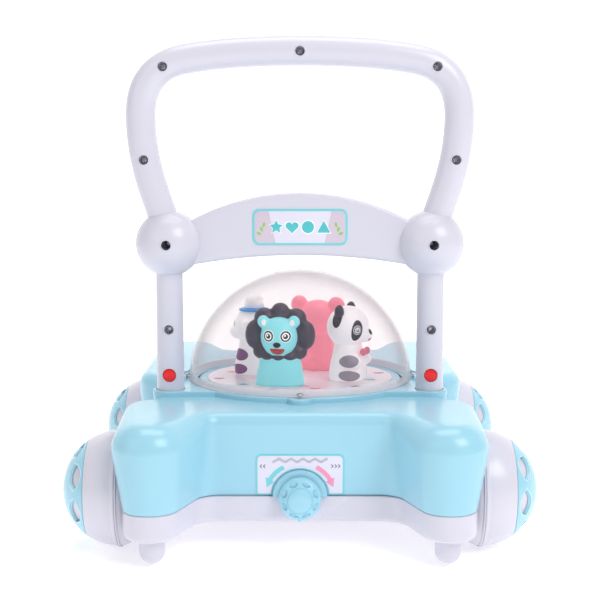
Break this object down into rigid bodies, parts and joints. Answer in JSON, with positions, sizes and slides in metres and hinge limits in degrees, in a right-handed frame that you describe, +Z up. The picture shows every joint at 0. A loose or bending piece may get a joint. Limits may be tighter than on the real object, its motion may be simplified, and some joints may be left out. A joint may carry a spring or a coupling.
{
  "type": "baby walker",
  "caption": "Push-along baby walker with a lift-off loop handle, ball-shaped wheels, a clear dome over a turntable of animal figures, and a speed knob.",
  "frame": {"origin": "on the ground under the middle of the body", "axes": "+Z up, +Y the way the walker is pushed (the child stands on the -Y side), +X to the child's right"},
  "size_m": [0.4184, 0.4456, 0.452],
  "materials": {
    "aqua_plastic": "glossy",
    "lavender_plastic": "glossy",
    "clear_plastic": "clear",
    "printed_sheet": "printed",
    "red_plastic": "glossy",
    "teal_vinyl": "satin",
    "white_vinyl": "satin",
    "pink_vinyl": "satin",
    "nylon": "satin",
    "steel": "satin",
    "rubber": "matte"
  },
  "bodies": {
    "chassis": {"upper_shell": "aqua_plastic", "lower_tray": "lavender_plastic", "shell_screws": "steel", "left_foot": "lavender_plastic", "right_foot": "lavender_plastic", "dome": "clear_plastic", "dome_screws": "steel", "speed_label": "printed_sheet", "rear_axle_bushes": "nylon", "front_axle_bushes": "nylon", "spindle_tower": "nylon", "drive_shaft_bearings": "nylon"},
    "handle": {"handle_rear_shell": "lavender_plastic", "handle_front_shell": "lavender_plastic", "handle_screws": "steel", "handle_plate": "printed_sheet", "left_button_spring": "steel", "right_button_spring": "steel"},
    "left_release": {"left_release_button": "red_plastic"},
    "right_release": {"right_release_button": "red_plastic"},
    "rear_wheels": {"rear_axle": "steel", "rear_washers": "steel", "brake_sleeve": "steel", "rear_left_wheel_inner": "lavender_plastic", "rear_left_wheel_outer": "lavender_plastic", "rear_left_hub_cap": "aqua_plastic", "rear_right_wheel_inner": "lavender_plastic", "rear_right_wheel_outer": "lavender_plastic", "rear_right_hub_cap": "aqua_plastic"},
    "front_wheels": {"front_axle": "steel", "front_washers": "steel", "axle_face_gear": "nylon", "front_left_wheel_inner": "lavender_plastic", "front_left_wheel_outer": "lavender_plastic", "front_left_hub_cap": "aqua_plastic", "front_right_wheel_inner": "lavender_plastic", "front_right_wheel_outer": "lavender_plastic", "front_right_hub_cap": "aqua_plastic"},
    "drive_shaft": {"drive_shaft": "steel", "axle_pinion": "nylon", "table_pinion": "nylon"},
    "turntable": {"turntable_disc": "aqua_plastic", "turntable_sheet": "printed_sheet", "turntable_spindle": "steel", "turntable_face_gear": "nylon", "lion_figure": "teal_vinyl", "panda_figure": "white_vinyl", "pig_figure": "pink_vinyl", "hippo_figure": "white_vinyl"},
    "speed_knob": {"speed_knob": "aqua_plastic", "knob_screw": "steel"},
    "brake": {"brake_shoe": "nylon", "brake_pad": "rubber"}
  },
  "joints": [
    {"name": "handle_lift", "type": "slide", "parent": "chassis", "child": "handle", "axis": [0, 0, 1], "range_m": [0, 0.056]},
    {"name": "left_button", "type": "slide", "parent": "handle", "child": "left_release", "axis": [0, 1, 0], "range_m": [0, 0.003], "stiffness_N_per_m": 300, "springref_m": -0.002, "deforming": ["left_button_spring"]},
    {"name": "right_button", "type": "slide", "parent": "handle", "child": "right_release", "axis": [0, 1, 0], "range_m": [0, 0.003], "stiffness_N_per_m": 300, "springref_m": -0.002, "deforming": ["right_button_spring"]},
    {"name": "rear_spin", "type": "hinge", "parent": "chassis", "child": "rear_wheels", "pos_m": [0, -0.134, 0.052], "axis": [1, 0, 0], "continuous": true},
    {"name": "front_spin", "type": "hinge", "parent": "chassis", "child": "front_wheels", "pos_m": [0, 0.134, 0.052], "axis": [1, 0, 0], "continuous": true},
    {"name": "shaft_spin", "type": "hinge", "parent": "chassis", "child": "drive_shaft", "pos_m": [0, 0.09, 0.052], "axis": [0, 1, 0], "continuous": true},
    {"name": "table_spin", "type": "hinge", "parent": "chassis", "child": "turntable", "pos_m": [0, 0, 0.1], "axis": [0, 0, 1], "continuous": true},
    {"name": "knob_turn", "type": "hinge", "parent": "chassis", "child": "speed_knob", "pos_m": [0, -0.16, 0.0475], "axis": [0, 1, 0], "range_deg": [-90, 90]},
    {"name": "brake_slide", "type": "slide", "parent": "chassis", "child": "brake", "axis": [0, 1, 0], "range_m": [-0.001, 0.001]}
  ],
  "couplings": [
    {"joint": "shaft_spin", "follows": "front_spin", "ratio": 1},
    {"joint": "table_spin", "follows": "front_spin", "ratio": -0.16667},
    {"joint": "brake_slide", "follows": "knob_turn", "m_per_rad": -0.000636}
  ]
}
